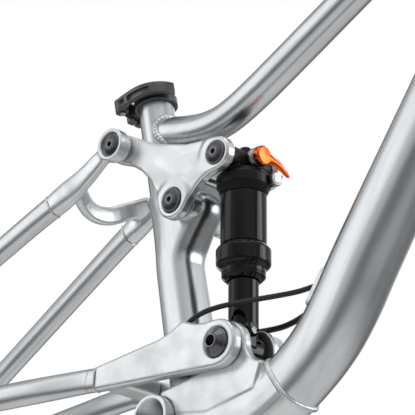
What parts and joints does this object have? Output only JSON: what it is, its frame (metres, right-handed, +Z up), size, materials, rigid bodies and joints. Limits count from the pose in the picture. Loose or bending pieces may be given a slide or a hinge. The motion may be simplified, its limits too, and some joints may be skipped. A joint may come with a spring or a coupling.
{
  "type": "full-suspension bicycle frame",
  "caption": "Full-suspension mountain bike frame with a rocker link, an upright rear shock, a pivoting rear triangle, a quick-release seat clamp and cable jumpers.",
  "frame": {"origin": "centre of the bottom bracket shell", "axes": "+X forward, +Y to the rider's left, +Z up, with the frame at the angles it has when ridden"},
  "size_m": [0.9454, 0.1786, 0.6047],
  "materials": {
    "raw_tube": "brushed bare tube under clear coat",
    "forging": "satin forged and machined",
    "black_alloy": "black anodised",
    "pivot_cap": "polished black anodised",
    "steel": "turned",
    "shock_black": "gloss black",
    "black_plastic": "moulded",
    "orange_lever": "orange anodised",
    "cable": "extruded jacket"
  },
  "bodies": {
    "front_triangle": {"seat_tube": "raw_tube", "rocker_pivot_housing": "forging", "head_tube": "raw_tube", "top_tube": "raw_tube", "down_tube": "raw_tube", "bottom_bracket_shell": "raw_tube", "main_pivot_forging": "forging", "cable_port_right": "forging", "cable_port_left": "forging", "shift_housing": "cable", "brake_hose": "cable", "main_pivot_axle": "steel", "main_pivot_cap_right": "pivot_cap", "main_pivot_cap_left": "pivot_cap", "rocker_axle": "steel", "seat_clamp_collar": "black_alloy", "seat_clamp_skewer": "steel", "seat_clamp_saddle": "black_plastic", "seat_clamp_nut": "black_alloy", "seat_clamp_cam_pin": "steel"},
    "rear_triangle": {"swingarm_arm_right": "forging", "swingarm_arm_left": "forging", "swingarm_bridge": "forging", "chainstay_right": "raw_tube", "chainstay_left": "raw_tube", "dropout_right": "forging", "dropout_left": "forging", "derailleur_hanger": "black_alloy", "thru_axle": "steel", "brake_mount": "forging", "main_pivot_bearing_right": "steel", "main_pivot_bearing_left": "steel"},
    "seatstays": {"seatstay_yoke": "forging", "seatstay_right": "raw_tube", "seatstay_left": "raw_tube", "seatstay_pivot_cap_right": "pivot_cap", "seatstay_pivot_cap_left": "pivot_cap"},
    "rocker": {"rocker_link": "forging", "rocker_bearing_right": "steel", "rocker_bearing_left": "steel", "rocker_pivot_cap_right": "pivot_cap", "rocker_pivot_cap_left": "pivot_cap", "shock_bolt_cap_right": "pivot_cap", "shock_bolt_cap_left": "pivot_cap", "seatstay_pin_right": "steel", "seatstay_pin_left": "steel"},
    "shock_shaft": {"shock_shaft": "shock_black", "shock_tab_bolt": "steel", "shock_eye_bush": "black_alloy"},
    "shock_body": {"shock_seal_head": "shock_black", "shock_can": "shock_black", "shock_head": "black_alloy", "valve_cap": "black_plastic", "lockout_knob_base": "steel", "shock_top_bolt_right": "steel", "shock_top_bolt_left": "steel"},
    "lockout_lever": {"lockout_lever": "orange_lever"},
    "rebound_knob": {"rebound_knob": "steel"},
    "clamp_lever": {"seat_clamp_lever": "black_alloy"}
  },
  "joints": [
    {"name": "main_pivot", "type": "hinge", "parent": "front_triangle", "child": "rear_triangle", "pos_m": [0.079, 0, 0.061], "axis": [0, 1, 0], "range_deg": [0, 14.25], "deforming": ["shift_housing", "brake_hose"]},
    {"name": "seatstay_flex", "type": "hinge", "parent": "rear_triangle", "child": "seatstays", "pos_m": [-0.418, 0, 0.042], "axis": [0, 1, 0], "range_deg": [-0.8, 0]},
    {"name": "rocker_pivot", "type": "hinge", "parent": "front_triangle", "child": "rocker", "pos_m": [0.0103, 0, 0.207], "axis": [0, 1, 0], "range_deg": [0, 38.2]},
    {"name": "shock_lower_pivot", "type": "hinge", "parent": "front_triangle", "child": "shock_shaft", "pos_m": [0.079, 0, 0.061], "axis": [0, 1, 0], "range_deg": [0, 4.4]},
    {"name": "shock_stroke", "type": "slide", "parent": "shock_shaft", "child": "shock_body", "axis": [0.0891, 0, -0.996], "range_m": [0, 0.041]},
    {"name": "lockout_lever_turn", "type": "hinge", "parent": "shock_body", "child": "lockout_lever", "pos_m": [0.08127, 0, 0.24895], "axis": [0.996, 0, 0.0891], "range_deg": [0, 70]},
    {"name": "rebound_knob_turn", "type": "hinge", "parent": "shock_body", "child": "rebound_knob", "pos_m": [0.08931, 0.013, 0.22859], "axis": [0.996, 0, 0.0891], "range_deg": [0, 270]},
    {"name": "clamp_lever_turn", "type": "hinge", "parent": "front_triangle", "child": "clamp_lever", "pos_m": [-0.08614, -0.0195, 0.32092], "axis": [0.2672, 0, -0.9636], "range_deg": [0, 150]}
  ],
  "couplings": [
    {"joint": "rocker_pivot", "follows": "main_pivot", "ratio": 2.67},
    {"joint": "seatstay_flex", "follows": "main_pivot", "ratio": -0.053},
    {"joint": "shock_lower_pivot", "follows": "main_pivot", "ratio": 0.302},
    {"joint": "shock_stroke", "follows": "main_pivot", "m_per_rad": 0.163}
  ]
}
